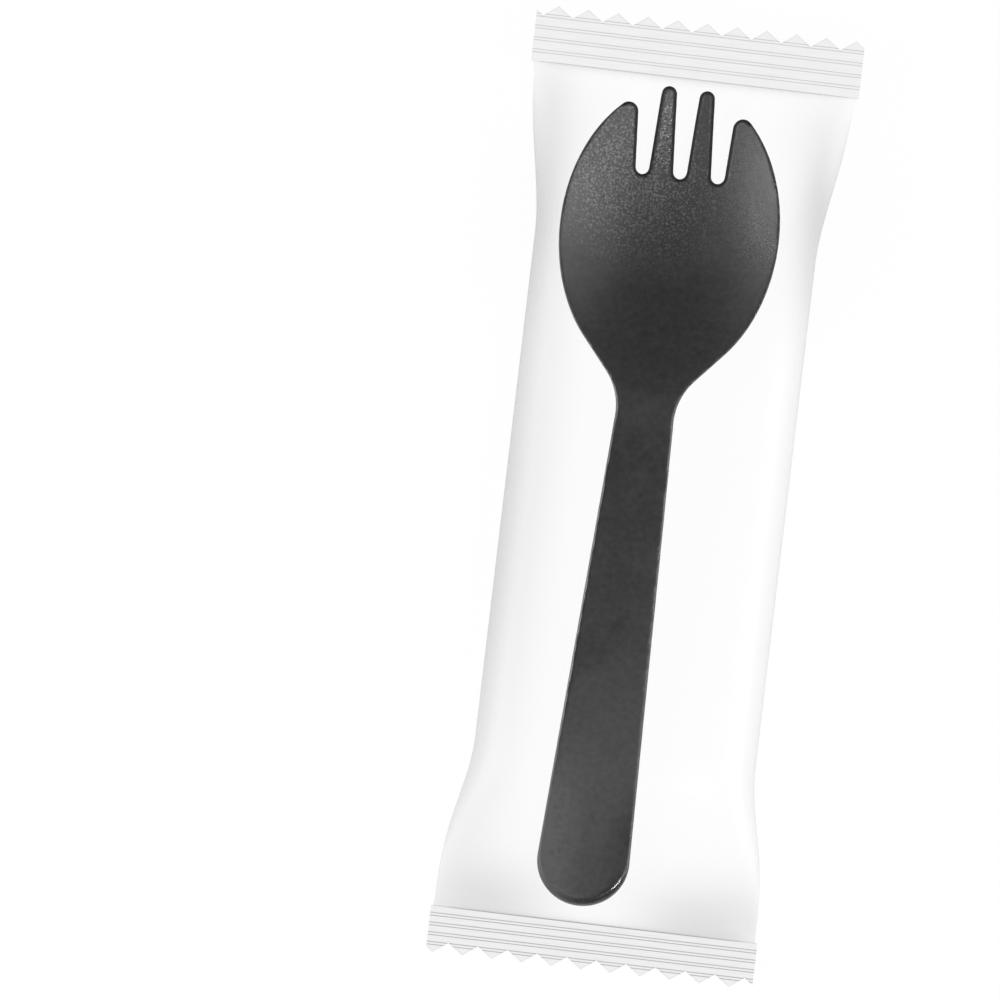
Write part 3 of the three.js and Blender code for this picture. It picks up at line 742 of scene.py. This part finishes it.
def clearFilm():
    material, nodes, links = newMaterial("clearFilm")
    work = lambda operation, *inputs: calculate(nodes, links, operation, *inputs)
    place = addNode(nodes, "ShaderNodeTexCoord", (-1800, 0)).outputs["Object"]
    split = addNode(nodes, "ShaderNodeSeparateXYZ", (-1600, 0))
    links.new(place, split.inputs["Vector"])
    x = work("DIVIDE", split.outputs["X"], mm)
    y = work("DIVIDE", split.outputs["Y"], mm)
    wholeTurns = 20  # keeps the count of teeth above zero
    turns = work("DIVIDE", work("SUBTRACT", x, film["firstToothTip"]), film["toothPitch"])
    fromTip = work("PINGPONG", work("ADD", turns, wholeTurns), 0.5)
    tooth = work("MULTIPLY_ADD", fromTip, -2 * film["toothDepth"], film["toothDepth"])
    tineRoot = tineEnd["line"] + tineEnd["depth"]
    handleRoot = handleEnd["line"] - handleEnd["depth"] - film["toothDepth"]
    toTineCut = work("SUBTRACT", work("ADD", tooth, tineRoot), y)
    toHandleCut = work("SUBTRACT", y, work("ADD", tooth, handleRoot))
    nearCut = work("LESS_THAN", work("MINIMUM", toTineCut, toHandleCut), clear["cutEdge"])
    weight = addNode(nodes, "ShaderNodeLayerWeight", (-1400, 600))
    weight.inputs["Blend"].default_value = 0.5
    slant = weight.outputs["Facing"]
    # Greyer at a slant, partly the film's own loss and partly painted shade, which also draws the seals'
    # darker rib flanks
    slantLossesAndPaintedShades = []
    for height, name in ((900, "slantLossAndPaintedShade"), (650, "tineSeal"), (400, "handleSeal")):
        ramp = addRamp(nodes, (-900, height), clear[name])
        links.new(slant, ramp.inputs["Fac"])
        slantLossesAndPaintedShades.append(ramp.outputs["Color"])
    atTines = work("GREATER_THAN", y, tineEnd["line"])
    atHandle = work("LESS_THAN", y, handleEnd["line"])
    notSealed = work("SUBTRACT", 1, work("ADD", atTines, atHandle))
    # Grey patches of painted shade on the film outside the seals
    paintedShade = readMark(nodes, (-900, 150), "paintedShade")
    underPaintedShade = work("SUBTRACT", 1, work("MULTIPLY", paintedShade, notSealed))
    away = lambda line: work("ABSOLUTE", work("SUBTRACT", y, line))
    onLine = lambda line: work("LESS_THAN", away(line), clear["lineWidth"] / 2)
    stretched = addNode(nodes, "ShaderNodeMapping", (-1400, -300))
    stretched.inputs["Scale"].default_value = clear["streakScale"]
    stretched.inputs["Rotation"].default_value = (0, 0, clear["streakTurn"])
    links.new(place, stretched.inputs["Vector"])
    along = stretched.outputs["Vector"]
    streaks = addNoise(nodes, links, (-1200, -300), along, 1, clear["streakDetail"])
    streak = work("MULTIPLY", streaks, work("SUBTRACT", 1, notSealed))
    layers = [
        (atTines, slantLossesAndPaintedShades[1], "MIX"),
        (atHandle, slantLossesAndPaintedShades[2], "MIX"),
        # the film greyed in patches, painted shade
        (1, underPaintedShade, "MULTIPLY"),
        (nearCut, grey(clear["cutTint"]), "MULTIPLY"),
        (onLine(tineEnd["line"]), grey(clear["tineLineTint"]), "MULTIPLY"),
        (onLine(handleEnd["line"]), grey(clear["handleLineTint"]), "MULTIPLY"),
        (streak, grey(clear["streakTint"]), "MULTIPLY"),
    ]
    colour = slantLossesAndPaintedShades[0]
    for index, (share, upper, blending) in enumerate(layers):
        colour = blendColours(nodes, links, (-600 + 150 * index, 600), share, colour, upper, blending)
    passing = addNode(nodes, "ShaderNodeBsdfTransparent", (100, 400))
    links.new(colour, passing.inputs["Color"])
    gloss = addNode(nodes, "ShaderNodeBsdfGlossy", (100, 100))
    gloss.inputs["Roughness"].default_value = clear["gloss"]
    grazing = work("POWER", slant, clear["grazingPower"])
    mirror = work("MULTIPLY_ADD", grazing, clear["grazingMirror"], clear["plainMirror"])
    blend = addNode(nodes, "ShaderNodeMixShader", (400, 300))
    output = addNode(nodes, "ShaderNodeOutputMaterial", (650, 300))
    links.new(mirror, blend.inputs["Fac"])
    links.new(passing.outputs["BSDF"], blend.inputs[1])
    links.new(gloss.outputs["BSDF"], blend.inputs[2])
    links.new(blend.outputs["Shader"], output.inputs["Surface"])
    return material


# Roughness is given from the end of the handle (0) to the tines (1)
plastic = {
    "dark": (0.004, 0.004, 0.0045, 1), "light": (0.038, 0.038, 0.0385, 1),
    "mattRimPaintedShade": grey(0.006), "paintedGlint": grey(0.19), "paintedLight": grey(0.052), "paintedLightMottle": 2,
    "roughness": [(0, 0.62), (0.12, 0.6), (0.2, 0.47), (0.32, 0.34), (0.58, 0.35), (0.66, 0.42), (1, 0.48)],
    "haze": 0.35, "hazeScale": 55, "hazeDetail": 2, "mottleScale": 900, "mottleDetail": 3,
    "pebbleScale": 2250, "pebbleDetail": 2, "pebbleDepth": 0.00012, "pebbleRoughness": 0.4,
    "paintedGlintLevels": [(0.5, 0), (0.69, 1)], "pit": -1.5, "plain": 0.15, "pebbled": 0.8,
    "pebbledPlace": (-0.007, 0.062, 0.006), "pebbledReach": 0.024,
    "wornPolish": 0.2, "polishRoughness": 0.16, "rimRoughness": 1, "specular": 0.75,
}


# Black polystyrene with a fine mould grain, coarser and sparkling by the slots, where pale specks are
# painted glints
def blackPlastic():
    material, nodes, links = newMaterial("blackPlastic")
    work = lambda operation, *inputs: calculate(nodes, links, operation, *inputs)
    centred = lambda noise: work("SUBTRACT", noise, 0.5)
    towards = lambda start, goal, share: work("MULTIPLY_ADD", work("SUBTRACT", goal, start), share, start)
    place = addNode(nodes, "ShaderNodeTexCoord", (-1400, 0)).outputs["Object"]
    haze, pebble, mottle = [
        addNoise(nodes, links, (-900, height), place, plastic[name + "Scale"], plastic[name + "Detail"])
        for height, name in ((300, "haze"), (0, "pebble"), (-250, "mottle"))
    ]
    mattRimPaintedShade = readMark(nodes, (-900, 800), "mattRimPaintedShade")
    paintedLightAndPolish = readMark(nodes, (-900, 1000), "paintedLightAndPolish")
    polish = readMark(nodes, (-900, 1200), "polish")
    away = addNode(nodes, "ShaderNodeVectorMath", (-1100, -500), operation="DISTANCE")
    away.inputs[1].default_value = plastic["pebbledPlace"]
    links.new(place, away.inputs[0])
    near = addNode(nodes, "ShaderNodeMapRange", (-800, -500), interpolation_type="SMOOTHSTEP")
    near.inputs["From Max"].default_value = plastic["pebbledReach"]
    near.inputs["To Min"].default_value = 1
    near.inputs["To Max"].default_value = 0
    links.new(away.outputs["Value"], near.inputs["Value"])
    pebbled = near.outputs["Result"]
    # Pale specks in the pebbled zone by the slots, painted glints
    paintedGlints = addRamp(nodes, (-600, 100), plastic["paintedGlintLevels"])
    links.new(pebble, paintedGlints.inputs["Fac"])
    layers = [
        # the paler left of the handle's end, a painted highlight
        (work("MULTIPLY", paintedLightAndPolish, work("MULTIPLY", mottle, plastic["paintedLightMottle"])), plastic["paintedLight"]),
        # pale specks, painted glints
        (work("MULTIPLY", paintedGlints.outputs["Color"], pebbled), plastic["paintedGlint"]),
        # the slot rims darkened, painted shade
        (mattRimPaintedShade, plastic["mattRimPaintedShade"]),
    ]
    colour = blendColours(nodes, links, (-500, 300), mottle, plastic["dark"], plastic["light"])
    for index, (share, upper) in enumerate(layers):
        colour = blendColours(nodes, links, (-400 + 100 * index, 300), share, colour, upper)
    split = addNode(nodes, "ShaderNodeSeparateXYZ", (-1100, 600))
    links.new(place, split.inputs["Vector"])
    fromEnd = work("SUBTRACT", split.outputs["Y"], spork["place"][1] * mm)
    matt = addRamp(nodes, (-600, 600), plastic["roughness"])
    links.new(work("DIVIDE", fromEnd, spork["length"] * mm), matt.inputs["Fac"])
    worn = work("MULTIPLY_ADD", work("MINIMUM", paintedLightAndPolish, 0), plastic["wornPolish"], matt.outputs["Color"])
    hazy = work("MULTIPLY_ADD", centred(haze), plastic["haze"], worn)
    pitted = work("MULTIPLY_ADD", centred(pebble), plastic["pit"], plastic["pebbleRoughness"])
    glinting = towards(hazy, pitted, pebbled)
    rimmed = towards(glinting, plastic["rimRoughness"], mattRimPaintedShade)
    polished = towards(rimmed, plastic["polishRoughness"], polish)
    bump = addNode(nodes, "ShaderNodeBump", (-300, -200))
    bump.inputs["Distance"].default_value = plastic["pebbleDepth"]
    rise = plastic["pebbled"] - plastic["plain"]
    links.new(work("MULTIPLY_ADD", pebbled, rise, plastic["plain"]), bump.inputs["Strength"])
    links.new(pebble, bump.inputs["Height"])
    shader = addNode(nodes, "ShaderNodeBsdfPrincipled", (0, 0))
    shader.inputs["Specular IOR Level"].default_value = plastic["specular"]
    output = addNode(nodes, "ShaderNodeOutputMaterial", (300, 0))
    links.new(colour, shader.inputs["Base Color"])
    links.new(polished, shader.inputs["Roughness"])
    links.new(bump.outputs["Normal"], shader.inputs["Normal"])
    links.new(shader.outputs["BSDF"], output.inputs["Surface"])
    return material


sporkPiece.data.materials.clear()
sporkPiece.data.materials.append(blackPlastic())
filmPiece.data.materials.clear()
filmPiece.data.materials.append(clearFilm())
print("materials made")


# Pale floor, even studio light and a pale surrounding
studio = {
    "floorSize": 6, "floorBelow": 0.0001, "floorColour": grey(0.9), "floorSeen": 0.96,
    "zenith": 0.12, "horizon": 0.24,
    "keyPower": 11.6, "keyPlace": (1.1, -0.083, 0.55), "keySize": 0.93,
    "fillPower": 24, "fillPlace": (-1.25, -0.35, 0.55), "fillSize": 1,
    "sparkPower": 4.2, "sparkPlace": (0.36, -0.57, 0.86), "sparkSize": 0.16,
}


# A matt floor, which looks almost white to the camera, in gloss and through clear pieces
def addFloor():
    deselectAll()
    bpy.ops.mesh.primitive_plane_add(size=studio["floorSize"], location=(0, 0, -studio["floorBelow"]))
    floor = bpy.context.object
    floor.name = "floor"
    material, nodes, links = newMaterial("paleFloor")
    work = lambda operation, *inputs: calculate(nodes, links, operation, *inputs)
    path = addNode(nodes, "ShaderNodeLightPath", (-900, 300)).outputs
    direct = work("MAXIMUM", path["Is Camera Ray"], path["Is Glossy Ray"])
    seen = work("MAXIMUM", direct, path["Is Transmission Ray"])
    matte = addNode(nodes, "ShaderNodeBsdfDiffuse", (-200, 100))
    matte.inputs["Color"].default_value = studio["floorColour"]
    white = addNode(nodes, "ShaderNodeEmission", (-200, -50))
    blend = addNode(nodes, "ShaderNodeMixShader", (50, 150))
    output = addNode(nodes, "ShaderNodeOutputMaterial", (300, 150))
    links.new(work("MULTIPLY", seen, studio["floorSeen"]), blend.inputs["Fac"])
    links.new(matte.outputs["BSDF"], blend.inputs[1])
    links.new(white.outputs["Emission"], blend.inputs[2])
    links.new(blend.outputs["Shader"], output.inputs["Surface"])
    floor.data.materials.append(material)


# A square lamp that faces the pack
def addLamp(name):
    place = Vector(studio[name + "Place"])
    bpy.ops.object.light_add(type="AREA", location=place)
    lamp = bpy.context.object
    lamp.name = name
    lamp.data.energy = studio[name + "Power"]
    lamp.data.size = studio[name + "Size"]
    lamp.rotation_euler = (-place).to_track_quat("-Z", "Y").to_euler()


# Even light from all round, stronger at the horizon, and a plain pale surrounding for the camera
def addWorld():
    world = bpy.data.worlds.new("studio")
    world.use_nodes = True
    nodes, links = world.node_tree.nodes, world.node_tree.links
    nodes.clear()
    place = addNode(nodes, "ShaderNodeTexCoord", (-900, 0))
    split = addNode(nodes, "ShaderNodeSeparateXYZ", (-700, 0))
    ramp = addRamp(nodes, (-500, 0), [(0, studio["horizon"]), (1, studio["zenith"])])
    light = addNode(nodes, "ShaderNodeBackground", (-100, 0))
    seen = addNode(nodes, "ShaderNodeBackground", (-100, -200))
    path = addNode(nodes, "ShaderNodeLightPath", (-400, 300))
    blend = addNode(nodes, "ShaderNodeMixShader", (100, 0))
    output = addNode(nodes, "ShaderNodeOutputWorld", (300, 0))
    links.new(place.outputs["Generated"], split.inputs["Vector"])
    links.new(split.outputs["Z"], ramp.inputs["Fac"])
    links.new(ramp.outputs["Color"], light.inputs["Color"])
    links.new(path.outputs["Is Camera Ray"], blend.inputs["Fac"])
    links.new(light.outputs["Background"], blend.inputs[1])
    links.new(seen.outputs["Background"], blend.inputs[2])
    links.new(blend.outputs["Shader"], output.inputs["Surface"])
    scene.world = world


addFloor()
addLamp("key")
addLamp("fill")
addLamp("spark")
addWorld()
print("stage made")
